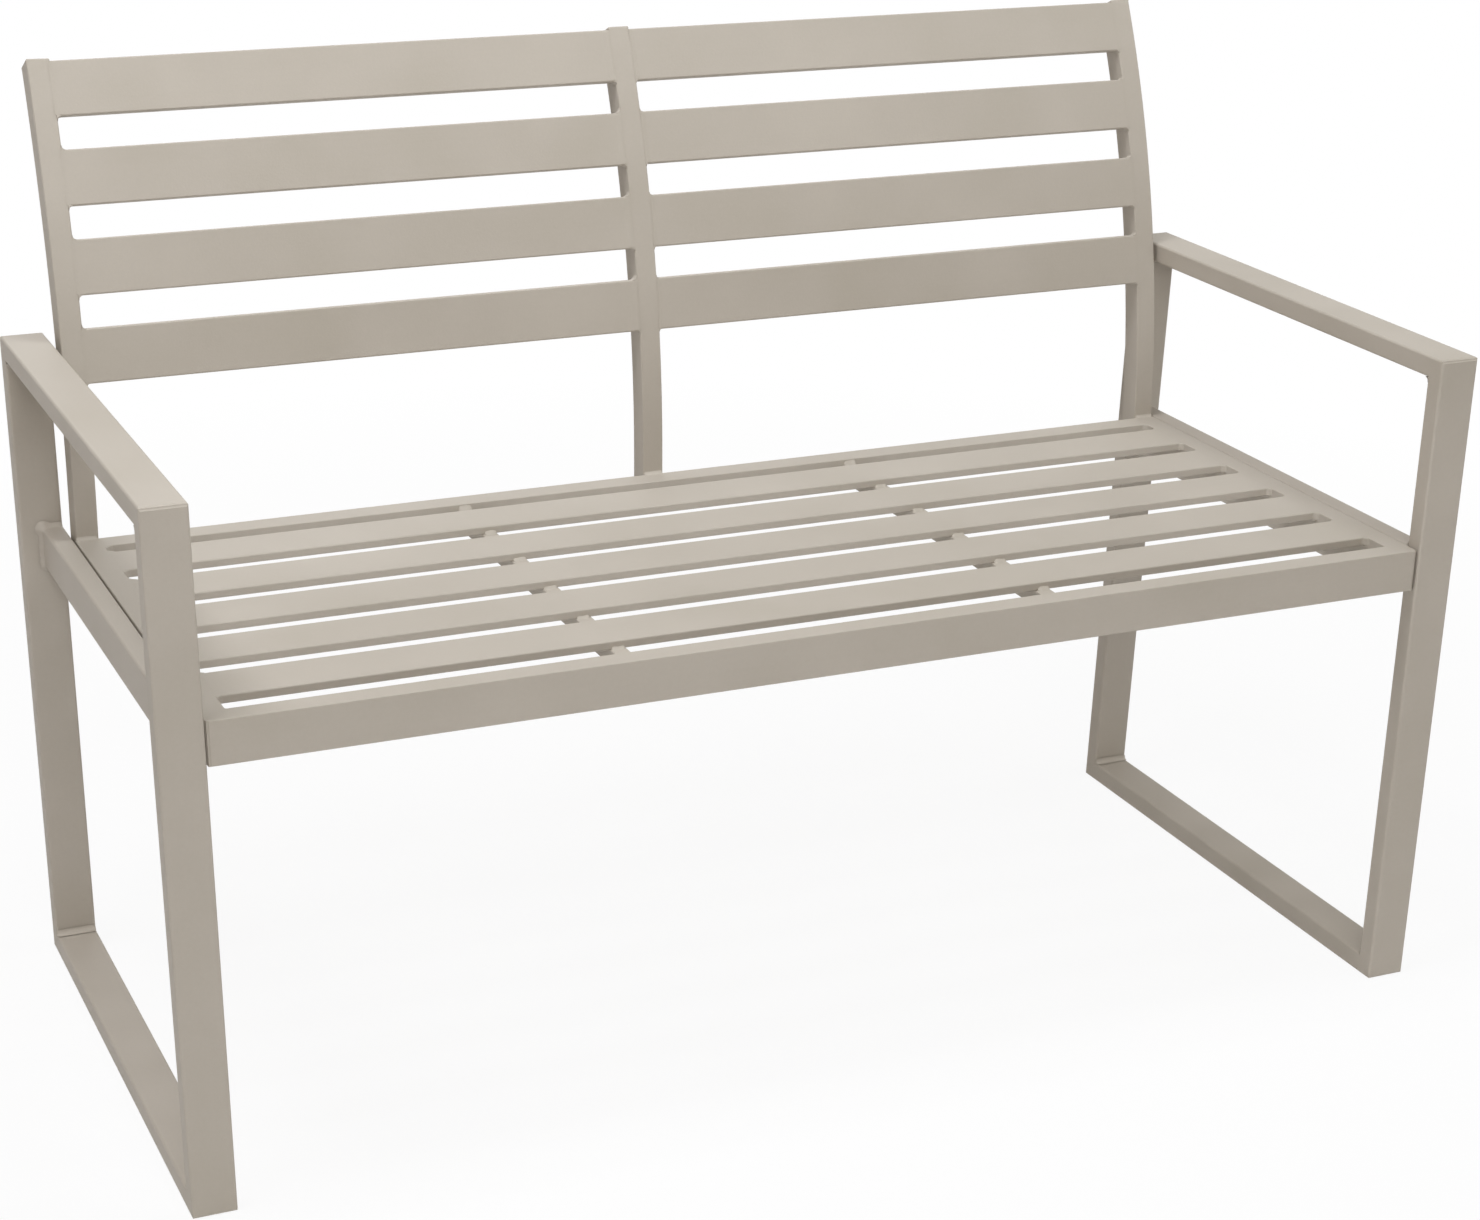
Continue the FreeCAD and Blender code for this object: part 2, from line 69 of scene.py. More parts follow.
right = Vector((0.91563, -0.40177, 0.01422)).normalized()
ahead = Vector((0.36821, 0.82390, -0.43082)).normalized()
up = right.cross(ahead).normalized()
turn = Matrix((right, up, -ahead)).transposed().to_4x4()
camera = bpy.data.objects.new("product_view", camera_data)
camera.matrix_world = Matrix.Translation(EYE) @ turn
bpy.context.collection.objects.link(camera)
bpy.context.scene.camera = camera
print("lens", round(camera_data.lens, 2), "mm, shift", round(camera_data.shift_y, 4))

# %% [markdown]
# ## Colours and nodes
#
# Colours are picked on a screen, as sRGB hex values, but a shader reckons in linear light. One
# function turns the one into the other. A second adds a node to a material with its settings and
# its links, so that a material reads as a short list of steps.

# %% Turn a colour linear


def linear(hex_value):
    """An sRGB hex colour as linear red, green, blue and alpha.

    Each channel c is c / 12.92 up to 0.04045, and ((c + 0.055) / 1.055) ** 2.4 above it.
    """
    channels = np.array([int(hex_value[i:i + 2], 16) for i in (1, 3, 5)]) / 255
    low, high = channels / 12.92, ((channels + 0.055) / 1.055) ** 2.4
    return (*np.where(channels <= 0.04045, low, high).tolist(), 1.0)


print("middle grey, #808080, is", round(linear("#808080")[0], 3), "in linear light")

# %% Add nodes to a material


def add_node(owner, kind, settings=None, **inputs):
    """Add a node to a material or world.

    An input gets a value, or a link from an output that is handed in. It is named by its label, or
    by its number as _0, _1 and so on where the labels repeat.
    """
    tree = owner.node_tree
    node = tree.nodes.new("ShaderNode" + kind)
    for name, setting in (settings or {}).items():
        setattr(node, name, setting)
    for name, source in inputs.items():
        socket = node.inputs[int(name[1:]) if name[0] == "_" else name.replace("_", " ")]
        if isinstance(source, bpy.types.NodeSocket):
            tree.links.new(source, socket)
        else:
            socket.default_value = source
    return node


def new_material(name):
    """An empty material and its Object coordinates, in metres."""
    material = bpy.data.materials.new(name)
    material.use_nodes = True
    material.node_tree.nodes.clear()
    return material, add_node(material, "TexCoord").outputs["Object"]


def finish_material(material, shader):
    """Join a shader to the material's output."""
    add_node(material, "OutputMaterial", Surface=shader)
    return material


# %% [markdown]
# ## The powder coat
#
# The tubes are sprayed with dry polyester powder and baked. The powder melts into a skin about a
# tenth of a millimetre thick. It is nearly matt, and never quite flat: it keeps a fine ripple,
# called orange peel, and its colour varies by a percent or two. Under it the tube's own die lines
# still show a little, because each tube was pushed through a steel die. They run along the tube,
# so the coat is made once for each of the three ways that tubes run. One plain colour would look
# like plastic.
#
# The skin isn't metallic, and the metal under it shows only by its shape. Its index of refraction
# starts from that of polyester, about 1.5, and is a little lower to match the dull sheen.

# %% Make the powder coat
COAT = "#B4ACA0"
COAT_LIGHT = "#B8B0A4"
COAT_DEEP = "#B0A89B"

# how often a pattern repeats in a metre
CLOUDS = 8.0  # patches about 120 mm across, where the layer came out thicker or thinner
GRAINS = 330.0  # pigment is far too fine to show, so it is drawn about 3 mm across
PEEL = 520.0  # orange peel: ripples 1 to 2 mm apart, drawn at about 2 mm
ACROSS_TUBE = 420.0  # die lines are tenths of a millimetre apart, drawn about 2 mm apart
ALONG_TUBE = 3.0  # and run on for about 300 mm

LINE_SHARE, FINE_SHARE = 0.3, 0.3
PEEL_HEIGHT, WELD_PEEL_HEIGHT = 0.0006, 0.0012


def powder_coat(name, direction, peel_height=PEEL_HEIGHT, line_share=LINE_SHARE):
    """Nearly matt polyester powder coat on a tube that runs along one direction, x, y or z."""
    material, place = new_material(name)
    clouds = add_node(material, "TexNoise", Vector=place, Scale=CLOUDS, Detail=2.0, Roughness=0.5)
    stretch = [ALONG_TUBE if axis == direction else ACROSS_TUBE for axis in "xyz"]
    drawn = add_node(material, "Mapping", Vector=place, Scale=stretch)
    lines = add_node(material, "TexNoise", Vector=drawn.outputs[0], Scale=1.0, Detail=2.0,
                     Roughness=0.6)
    grains = add_node(material, "TexNoise", Vector=place, Scale=GRAINS, Detail=3.0, Roughness=0.6)
    # colour: the clouds, with about a third as much of the fine patterns
    fine = add_node(material, "Math", {"operation": "MULTIPLY_ADD"}, _0=lines.outputs["Fac"],
                    _1=line_share, _2=grains.outputs["Fac"])
    blend = add_node(material, "Math", {"operation": "MULTIPLY_ADD"}, _0=fine.outputs[0],
                     _1=FINE_SHARE, _2=clouds.outputs["Fac"])
    ramp = add_node(material, "ValToRGB", Fac=blend.outputs[0])
    ramp.color_ramp.elements[0].position = 0.45
    ramp.color_ramp.elements[0].color = linear(COAT_DEEP)
    ramp.color_ramp.elements[1].position = 0.95
    ramp.color_ramp.elements[1].color = linear(COAT_LIGHT)
    middle = ramp.color_ramp.elements.new(0.7)
    middle.color = linear(COAT)
    # surface: a satin to matt gloss, and a height of ripples and die lines
    gloss = add_node(material, "MapRange", Value=grains.outputs["Fac"], To_Min=0.55, To_Max=0.65)
    peel = add_node(material, "TexNoise", Vector=place, Scale=PEEL, Detail=2.0, Roughness=0.5)
    height = add_node(material, "Math", {"operation": "MULTIPLY_ADD"}, _0=lines.outputs["Fac"],
                      _1=line_share, _2=peel.outputs["Fac"])
    bump = add_node(material, "Bump", Strength=0.12, Distance=peel_height, Height=height.outputs[0])
    shader = add_node(material, "BsdfPrincipled", Base_Color=ramp.outputs["Color"],
                      Roughness=gloss.outputs["Result"], Normal=bump.outputs["Normal"], IOR=1.45)
    return finish_material(material, shader.outputs["BSDF"])


coats = {way: powder_coat(f"taupe_matt_powder_coat_{way}", way) for way in "xyz"}
# a weld has no die lines, and its coat ripples more
weld_coat = powder_coat("taupe_powder_coat_over_welds", "x", WELD_PEEL_HEIGHT, line_share=0.0)
print("made", [coat.name for coat in coats.values()], "and", weld_coat.name)

# %% [markdown]
# ## The fasteners
#
# Four bolts hold the seat to the side frames and screw into rivet nuts in the stretchers. They go
# in after the coat, so they stay bare metal: stainless steel bolts, and rivet nuts with a dull
# dark zinc plating. Both are turned parts, so one function makes both, with the fine marks that a
# tool leaves.

# %% Make the fasteners' steel
TOOL_MARKS = 900.0  # marks are about a tenth of a millimetre apart, drawn about 1 mm apart


def turned_steel(name, hex_value, roughness):
    """Plain turned steel, with marks from the tool."""
    material, place = new_material(name)
    marks = add_node(material, "TexNoise", Vector=place, Scale=TOOL_MARKS, Detail=3.0)
    gloss = add_node(material, "MapRange", Value=marks.outputs["Fac"], To_Min=roughness - 0.06,
                     To_Max=roughness + 0.1)
    bump = add_node(material, "Bump", Strength=0.1, Distance=0.0003, Height=marks.outputs["Fac"])
    shader = add_node(material, "BsdfPrincipled", Base_Color=linear(hex_value), Metallic=1.0,
                      Roughness=gloss.outputs["Result"], Normal=bump.outputs["Normal"])
    return finish_material(material, shader.outputs["BSDF"])


stainless = turned_steel("stainless_steel_bolts", "#C9C7C3", 0.3)
zinc = turned_steel("dark_zinc_plated_rivet_nuts", "#4A4846", 0.5)
print("made", stainless.name, "and", zinc.name)

# %% Give every tube and fastener its finish
ALONG_Y = ("armrest", "runner", "stretcher", "left_rail", "right_rail", "bearer")
ALONG_Z = ("leg", "stile")


def finish_of(name):
    """The finish of a piece, by the way that its tube runs."""
    if name == "side_bolts":
        return stainless
    if name == "side_rivet_nuts":
        return zinc
    if any(word in name for word in ALONG_Y):
        return coats["y"]
    return coats["z"] if any(word in name for word in ALONG_Z) else coats["x"]


for name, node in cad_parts.items():
    for slot in node.material_slots:
        slot.material = finish_of(name)
print("finished", len(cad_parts), "pieces")

# %% [markdown]
# ## How a weld is drawn
#
# The tubes are joined by welds, and the coat covers them. A weld could be sculpted, but every one
# here is a small section carried along a seam, so it can be worked out. Where two faces meet in a
# corner, the melt leaves a fillet, hollow or full. Where a joint was ground flush, only a very
# low crown is left, and where it was ground less, a low ridge beside the joint. All are one
# function with another section, and the section swells and ripples a little as the torch moves
# on.

# %% Sections of a weld
SUNK = 0.04  # mm by which a section's seen edges lie in the metal, so that no slit shows


def fillet(size, belly=0.0, sink_a=0.6, sink_b=0.6, columns=8):
    """The section of a weld in a corner, in mm, counter-clockwise.

    Its seen side mixes a hollow quarter circle, (1 - sin t, 1 - cos t), with a full one,
    (cos t, sin t), for t from 0 to 90 degrees. belly is the share of the full one. Its hidden side
    lies in the metal, sink_a and sink_b deep.
    """
    t = np.linspace(0, np.pi / 2, columns)
    hollow = np.stack([1 - np.sin(t), 1 - np.cos(t)], 1)
    full = np.stack([np.cos(t), np.sin(t)], 1)
    seen = size * ((1 - belly) * hollow + belly * full) - SUNK
    return np.concatenate([seen, [(-sink_b, 0), (-sink_b, -sink_a), (0, -sink_a)]])


def crown(half, height=0.03, keel=0.8, columns=7):
    """The section of a joint that was ground flush, in mm, counter-clockwise.

    Over its width the height is height * (1 - (x / half) ** 2), and a keel fills the groove below.
    """
    x = np.linspace(half, -half, columns)
    top = np.stack([x, height * (1 - (x / half) ** 2) - SUNK / 2], 1)
    return np.concatenate([top, [(-0.4, -keel), (0.4, -keel)]])


def ridge(start, end, height, groove, keel=0.3, columns=7):
    """The section of a low weld beside a joint, with a shallow groove left along the joint, in mm.

    From start to end its height falls off as height * (1 - u ** 2), for u from 0 to 1.
    """
    u = np.linspace(1, 0, columns)
    top = np.stack([start + (end - start) * u, height * (1 - u ** 2)], 1)
    floor_of_groove = [(start - 0.2, groove), (-0.8, groove)]
    return np.concatenate([top, floor_of_groove, [(-0.8, -keel), (end - 0.4, -keel)]])


print("a 4 mm fillet has", len(fillet(4)), "points round it")

# %% Carry a section along a seam
ROW_STEP = 0.5
RIPPLE_PITCH = 1.8


def growth(length, rows, ease, least, swell, phase):
    """How large the section is along a seam: it grows from both ends, swells and ripples.

    From an end it follows a quarter circle, sqrt(1 - (1 - d / ease) ** 2), from least up to 1. The
    swelling is two sine waves of unlike length, and the ripple a short one, at a third of them.
    """
    d = np.linspace(0, length, rows)
    nearest = np.clip(np.minimum(d, length - d) / ease, 0, 1)
    ends = least + (1 - least) * np.sqrt(1 - (1 - nearest) ** 2)
    waves = np.sin(d / 3.1 + phase) + 0.6 * np.sin(d / 1.3 + 2.1 * phase)
    ripple = np.sin(2 * np.pi * d / RIPPLE_PITCH)
    return ends * (1 + swell * (0.6 * waves + 0.2 * ripple))


def carry(section, path, face_a, face_b, sizes):
    """Carry a closed section along a seam: a point is path(s) + size(s) (x(t) a(s) + y(t) b(s)).

    a and b are unit vectors in the two faces, pointing away from the corner. The rows run the way
    of a x b, so that the faces point outwards, and a flat face closes each end.
    """
    rows, columns = len(path), len(section)
    face_a, face_b = np.broadcast_to(face_a, path.shape), np.broadcast_to(face_b, path.shape)
    if np.dot(path[1] - path[0], np.cross(face_a[0], face_b[0])) < 0:
        path, face_a, face_b, sizes = path[::-1], face_a[::-1], face_b[::-1], sizes[::-1]
    spread = section[None, :, :1] * face_a[:, None] + section[None, :, 1:] * face_b[:, None]
    points = (path[:, None] + sizes[:, None, None] * spread).reshape(-1, 3)
    row, column = np.meshgrid(np.arange(rows - 1), np.arange(columns), indexing="ij")
    here, beside = row * columns + column, row * columns + (column + 1) % columns
    quads = np.stack([here, beside, beside + columns, here + columns], -1).reshape(-1, 4)
    first = list(range(columns))[::-1]
    last = list(range((rows - 1) * columns, rows * columns))
    return points, [*quads.tolist(), first, last]


def straight(section, start, end, face_a, face_b, ease=1.5, least=0.3, swell=0.08):
    """A weld along a straight seam from start to end, in mm."""
    start, end, face_a, face_b = (np.array(v, float) for v in (start, end, face_a, face_b))
    length = np.linalg.norm(end - start)
    rows = max(int(length / ROW_STEP), 6)
    path = start + np.linspace(0, 1, rows)[:, None] * (end - start)
    # the swelling starts at a phase of the seam's own, so that no two welds look alike
    phase = float(start @ (0.37, 0.61, 0.83))
    return carry(section, path, face_a, face_b, growth(length, rows, ease, least, swell, phase))


points, faces = straight(fillet(4), (0, 0, 0), (20, 0, 0), (0, 1, 0), (0, 0, 1))
print("a weld of 20 mm has", len(points), "points and", len(faces), "faces")

# %% Join welds to one piece


def make_piece(name, surfaces):
    """Join the surfaces of a group of welds to one coated piece that rides with the bench."""
    starts = np.cumsum([0] + [len(points) for points, _ in surfaces])
    faces = [[corner + int(first) for corner in face]
             for first, (_, group) in zip(starts, surfaces) for face in group]
    mesh = bpy.data.meshes.new(name)
    mesh.from_pydata(np.concatenate([points for points, _ in surfaces]) * MM, [], faces)
    mesh.shade_smooth()
    mesh.set_sharp_from_angle(angle=math.radians(40))
    mesh.materials.append(weld_coat)
    piece = bpy.data.objects.new(name, mesh)
    bpy.context.collection.objects.link(piece)
    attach(piece, "root")
    print(name, len(surfaces), "welds,", len(faces), "faces")
    return piece


# %% [markdown]
# ## Slats that end on a flush face
#
# A slat is a flat tube whose end stands against the side of a rail or a stile, with its broad
# face flush with theirs. It is welded all round. On the broad face the weld was ground away, so
# no line shows there. In the openings between the slats the torch left a small rounded corner,
# and behind the slat, where nobody looks, a plain bead. One function makes all of these for a
# slat's end.

# %% Weld a slat's end
X, Y, Z = np.eye(3)
SEAM_MARGIN = 0.8  # a seam across a slat stops this far from the slat's edges, which are rounded
BEAD, BEAD_BELLY = 3.0, 0.35
GROUND_HALF = 2.2
FULL_FROM, FULL_BELLY = 4.5, 0.25  # a larger corner is a little full, a smaller one hollow


def unit(vector):
    """A vector of length 1."""
    return vector / np.linalg.norm(vector)


def slat_end(joint, along, across, out, width, thickness, corners, face=crown(GROUND_HALF)):
    """The welds of one slat's end: its flush face, its rounded corners, and the bead behind it.

    joint is the middle of the seam on the flush face. along runs into the slat, across over its
    width and out away from the flush face. corners gives the size of the corner at the lower (-1)
    and the upper (1) edge.
    """
    half = width / 2
    edge = half - SEAM_MARGIN
    back = joint - thickness * out
    welds = [
        straight(face, joint - edge * across, joint + edge * across, along, out, ease=2, least=0.5,
                 swell=0),
        straight(fillet(BEAD, BEAD_BELLY), back - edge * across, back + edge * across, along, -out),
    ]
    for side, size in corners.items():
        section = fillet(size, FULL_BELLY if size > FULL_FROM else 0.0, sink_a=1.8, sink_b=0.9)
        foot = joint + side * half * across
        welds.append(straight(section, foot + 0.02 * out, foot - (thickness - 0.3) * out, along,
                              side * across, ease=1.3, least=0.72, swell=0.03))
    return welds


def node_box(name):
    """A tube's lowest and highest corners, in mm."""
    return tuple(np.array(corner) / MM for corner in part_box(name))


low, high = node_box("seat_slat_1")
print("a seat slat measures", np.round(high - low, 1), "mm")

# %% [markdown]
# ## The back slats
#
# The stiles bend backwards, so each pair of slats leans more than the one below it. A slat's lean
# isn't written down anywhere: it is worked out from the box round the slat and the slat's own
# width and thickness. At the outer stiles the flush faces were ground until nothing shows. At the
# middle stile they were ground less, so that a low ridge and the joint's fine groove are left
# there.

# %% Find where a back slat's flush face lies
SLAT_THICKNESS, BACK_SLAT_WIDTH, SLAT_CORNER = 8, 50, 1.5


def flush_face(low, high):
    """The lean of a back slat from its box, its ways across and out, and its flush face's middle.

    With every side less twice the corner's radius, the box is width cos + thickness sin high, and
    width sin + thickness cos deep. Solved for the sine and the cosine, these two give the lean.
    """
    depth, rise = high[1:] - low[1:] - 2 * SLAT_CORNER
    width, thickness = BACK_SLAT_WIDTH - 2 * SLAT_CORNER, SLAT_THICKNESS - 2 * SLAT_CORNER
    lean = math.atan2(depth * width - rise * thickness, rise * width - depth * thickness)
    sin, cos = math.sin(lean), math.cos(lean)
    across, out = np.array([0, sin, cos]), np.array([0, -cos, sin])
    shy = SLAT_CORNER * (1 - sin - cos)
    foot = np.array([0, low[1] + shy, low[2] + shy + SLAT_THICKNESS * sin])
    return lean, across, out, foot + across * BACK_SLAT_WIDTH / 2


for number in range(1, 5):
    lean = flush_face(*node_box(f"back_left_slat_{number}"))[0]
    print("back slats", number, "lean by", round(math.degrees(lean), 2), "degrees")

# %% Weld the back slats to the stiles
STILE_LEAN = math.radians(1.3)
# sizes for the left (-1) and the right (1) bay, each for a slat's lower (-1) and upper (1) edge
MIDDLE_CORNERS = {-1: {-1: 2.8, 1: 5.0}, 1: {-1: 2.6, 1: 2.8}}
MIDDLE_FACE = {-1: ridge(0.3, 6.4, 0.45, 0.15), 1: ridge(0.3, 3.4, 0.32, 0.12)}
OUTER_CORNERS = {-1: {-1: 4.2, 1: 4.2}, 1: {-1: 3.0, 1: 4.0}}
TOP_SLAT, LOWEST_SLAT, LOWEST_CORNER = 1, 4, 2.4


def corners_of(corners, number):
    """A slat's corners: none over the topmost one, where the stiles end, small under the lowest."""
    if number == TOP_SLAT:
        return {-1: corners[-1]}
    return {-1: LOWEST_CORNER, 1: corners[1]} if number == LOWEST_SLAT else corners


back_welds = []
for number in range(TOP_SLAT, LOWEST_SLAT + 1):
    for side, hand in (("left", -1), ("right", 1)):
        low, high = node_box(f"back_{side}_slat_{number}")
        lean, across, out, middle = flush_face(low, high)
        inner = hand * min(abs(low[0]), abs(high[0]))
        # the outer stile leans too, so the slat's cut end is longest at its top
        shorter = (middle[2] - low[2]) * math.tan(STILE_LEAN)
        outer = hand * (max(abs(low[0]), abs(high[0])) - shorter)
        tilt = unit(across - hand * math.tan(STILE_LEAN) * across[2] * X)
        back_welds += slat_end(middle + inner * X, hand * X, across, out, BACK_SLAT_WIDTH,
                               SLAT_THICKNESS, corners_of(MIDDLE_CORNERS[hand], number),
                               MIDDLE_FACE[hand])
        back_welds += slat_end(middle + outer * X, -hand * X, tilt, out, BACK_SLAT_WIDTH,
                               SLAT_THICKNESS, corners_of(OUTER_CORNERS[hand], number))
make_piece("back_slat_welds", back_welds)

# %% [markdown]
# ## The seat slats
#
# The seat lies in one plane: five slats end on the side rails, and so does the rear rail. Their
# welds are those of the back slats, with fuller corners, because the torch could stay longer in
# the wider openings. The mitres of the seat frame's front corners were ground flush and keep a
# fillet inside.

# %% Weld the seat slats and the rear rail to the side rails
front_low, front_high = node_box("seat_front_rail")
rear_low, rear_high = node_box("seat_rear_rail")
# the corners are fuller at the left rail (-1), and fullest in its two rearmost openings
SEAT_CORNER = {-1: 5.4, 1: 4.8}
REAR_CORNER = {-1: 8.0, 1: 4.8}
MITRE_FILLET = 2.5
seat_welds = []
for number in range(1, 6):
    low, high = node_box(f"seat_slat_{number}")
    middle = np.array([0, (low[1] + high[1]) / 2, high[2]])
    for hand in (-1, 1):
        in_front = (REAR_CORNER if number == 1 else SEAT_CORNER)[hand]
        behind = (REAR_CORNER if number <= 2 else SEAT_CORNER)[hand]
        seat_welds += slat_end(middle + hand * high[0] * X, -hand * X, Y, Z, high[1] - low[1],
                               high[2] - low[2], {-1: in_front, 1: behind})
for hand in (-1, 1):
    middle = np.array([hand * rear_high[0], (rear_low[1] + rear_high[1]) / 2, rear_high[2]])
    seat_welds += slat_end(middle, -hand * X, Y, Z, rear_high[1] - rear_low[1],
                           rear_high[2] - rear_low[2], {-1: REAR_CORNER[hand]})
    inside = np.array([hand * rear_high[0], front_high[1], 0])
    seat_welds.append(straight(fillet(MITRE_FILLET), inside + (front_low[2] + 0.5) * Z,
                               inside + (front_high[2] - 0.3) * Z, -hand * X, Y, ease=1.5,
                               least=0.6, swell=0.04))
make_piece("seat_slat_welds", seat_welds)

# %% [markdown]
# ## Bearers under the seat
#
# Two square tubes run under the slats and carry them. Each crossing is tacked with a short bead
# at the slat's front and rear edge. They were never ground, and they show between the slats as
# small pale lumps. A welder starts and stops each tack at a place of its own, so the tacks are
# shifted by a sine of their number, which looks uneven and still comes out the same each time.

# %% Tack the slats to the bearers
TACK, TACK_BELLY, TACK_SHIFT = 3.0, 0.45, 1.2
bearer_welds = []
for side in ("left", "right"):
    low, high = node_box(f"{side}_slat_bearer")
    for number in range(1, 6):
        slat_low, slat_high = node_box(f"seat_slat_{number}")
        for edge_y, way in ((slat_low[1], -1), (slat_high[1], 1)):
            shift = TACK_SHIFT * math.sin(7.3 * number + 3.1 * way + low[0])
            start = np.array([low[0] + SEAM_MARGIN + max(shift, 0), edge_y, high[2]])
            end = np.array([high[0] - SEAM_MARGIN + min(shift, 0), edge_y, high[2]])
            section = fillet(TACK + 0.4 * shift, TACK_BELLY, sink_b=1.8)
            bearer_welds.append(straight(section, start, end, way * Y, Z, ease=3.0, least=0.35,
                                         swell=0.12))
print(len(bearer_welds), "tacks")

# %% Weld the bearers' ends to the front and the rear rail
FRONT_END, REAR_END, END_BELLY = 3.0, 6.6, 0.4
SIDE_BEAD = 2.6
for side in ("left", "right"):
    low, high = node_box(f"{side}_slat_bearer")
    for face_y, way, size in ((front_high[1], 1, FRONT_END), (rear_low[1], -1, REAR_END)):
        bearer_welds.append(straight(fillet(size, END_BELLY), (low[0] + 0.5, face_y, high[2]),
                                     (high[0] - 0.5, face_y, high[2]), way * Y, Z, ease=3.0))
        for face_x, hand in ((low[0], -1), (high[0], 1)):
            bearer_welds.append(straight(fillet(SIDE_BEAD, BEAD_BELLY),
                                         (face_x, face_y, low[2] + 0.5),
                                         (face_x, face_y, high[2] - 0.5), way * Y, hand * X))
make_piece("bearer_welds", bearer_welds)

# %% [markdown]
# ## The corners of the side frames
#
# Four tubes meet in mitres. Outside, the welds were ground until the corner is one smooth turn.
# Inside, a hollow fillet stays, because a grinding disc doesn't reach it. The rear leg is raked,
# so its fillets lie between the rake and the level.

# %% Weld the corners of the side frames
TUBE_DEPTH, TUBE_HALF, TUBE_CORNER = 20, 20, 2.5
INNER_FILLET = 5.5
RAKE = math.radians(2.1)
up_leg = np.array([0, -math.sin(RAKE), math.cos(RAKE)])


def rear_y(side, z):
    """Where the rear leg's inner face stands at a height."""
    run_end = node_box(f"{side}_floor_runner")[1][1]
    return run_end - z * math.tan(RAKE) - TUBE_DEPTH / math.cos(RAKE)


frame_welds = []
for side in ("left", "right"):
    low, high = node_box(f"{side}_front_leg")
    centre_x = (low[0] + high[0]) / 2
    front_y = low[1] + TUBE_DEPTH
    top_z, foot_z = high[2] - TUBE_DEPTH, low[2] + TUBE_DEPTH
    for y, z, along_leg, along_level in (
        (front_y, top_z, -Z, Y), (front_y, foot_z, Z, Y),
        (rear_y(side, top_z), top_z, -up_leg, -Y), (rear_y(side, foot_z), foot_z, up_leg, -Y),
    ):
        start = np.array([centre_x - TUBE_HALF + 0.4, y, z])
        end = np.array([centre_x + TUBE_HALF - 0.4, y, z])
        frame_welds.append(straight(fillet(INNER_FILLET), start, end, along_level, along_leg,
                                    ease=TUBE_CORNER, least=0.35, swell=0.03))
make_piece("side_frame_corner_welds", frame_welds)

# %% [markdown]
# ## The stretchers
#
# The stretcher that carries the seat stands between the legs of a side frame. Its welds were left
# as the torch made them, over the top, round the outer side and back underneath, with one thick
# lump at the rear left. The seam turns at the tube's rounded edges, so the way out from the tube
# turns with it.

# %% Go round a tube on three sides
TOP_ROWS, SIDE_ROWS, TURN_ROWS = 24, 60, 6


def round_three_sides(low, high, turn, hand):
    """The way round a tube's section: inner top edge, outer side, inner bottom edge.

    Straight runs join quarter circles of radius turn, whose points are (1 - sin t, 1 - cos t) from
    their corner. Returns points (x, z) and the way out at each one.
    """
    t = np.linspace(0, np.pi / 2, TURN_ROWS)
    inner, outer = (low[0], high[0]) if hand > 0 else (high[0], low[0])
    top = np.linspace(inner + hand * 0.5, outer - hand * turn, TOP_ROWS)[:-1]
    side = np.linspace(high[2] - turn, low[2] + turn, SIDE_ROWS)[1:-1]
    x = np.concatenate([top, outer - hand * turn * (1 - np.sin(t)), np.full(side.shape, outer),
                        outer - hand * turn * (1 - np.cos(t)), top[::-1]])
    z = np.concatenate([np.full(top.shape, high[2]), high[2] - turn * (1 - np.cos(t)), side,
                        low[2] + turn * (1 - np.sin(t)), np.full(top.shape, low[2])])
    out_x = np.concatenate([0 * top, hand * np.sin(t), np.full(side.shape, hand),
                            hand * np.cos(t), 0 * top])
    out_z = np.concatenate([0 * top + 1, np.cos(t), 0 * side, -np.sin(t), 0 * top - 1])
    return np.stack([x, z], 1), np.stack([out_x, out_z], 1)


ring, _ = round_three_sides(*node_box("right_side_stretcher"), TUBE_CORNER, 1)
print("the seam has", len(ring), "points")

# %% Weld the stretchers
STRETCHER_FILLET, STRETCHER_BELLY = 4.0, 0.3
# the thick lump sits where the top edge turns down the outer side, 19 mm along the seam
LUMP_SHARE, LUMP_AT, LUMP_WIDTH = 0.75, 19, 5
stretcher_welds = []
for side, hand in (("left", -1), ("right", 1)):
    front_y = node_box(f"{side}_front_leg")[0][1] + TUBE_DEPTH
    ring, out = round_three_sides(*node_box(f"{side}_side_stretcher"), TUBE_CORNER, hand)
    for rear in (False, True):
        y = rear_y(side, ring[:, 1]) if rear else np.full(len(ring), front_y)
        path = np.stack([ring[:, 0], y, ring[:, 1]], 1)
        outward = out[:, :1] * X + out[:, 1:] * (up_leg if rear else Z)
        steps = np.linalg.norm(np.diff(path, axis=0), axis=1)
        travelled = np.concatenate([[0], np.cumsum(steps)])
        sizes = growth(travelled[-1], len(path), 2.0, 0.4, 0.12, hand + 3.0 * rear)
        if rear and side == "left":
            sizes = sizes * (1 + LUMP_SHARE * np.exp(-((travelled - LUMP_AT) / LUMP_WIDTH) ** 2))
        stretcher_welds.append(carry(fillet(STRETCHER_FILLET, STRETCHER_BELLY), path,
                                     -Y if rear else Y, outward, sizes))
make_piece("stretcher_welds", stretcher_welds)

# %% [markdown]
# ## The feet of the stiles
#
# The stiles stand behind the seat. The outer ones meet the ends of the side rails and the middle
# one meets the rear rail, so their front faces rise out of the seat's top in a corner. A low
# fillet fills it, and beads run down beside each stile.

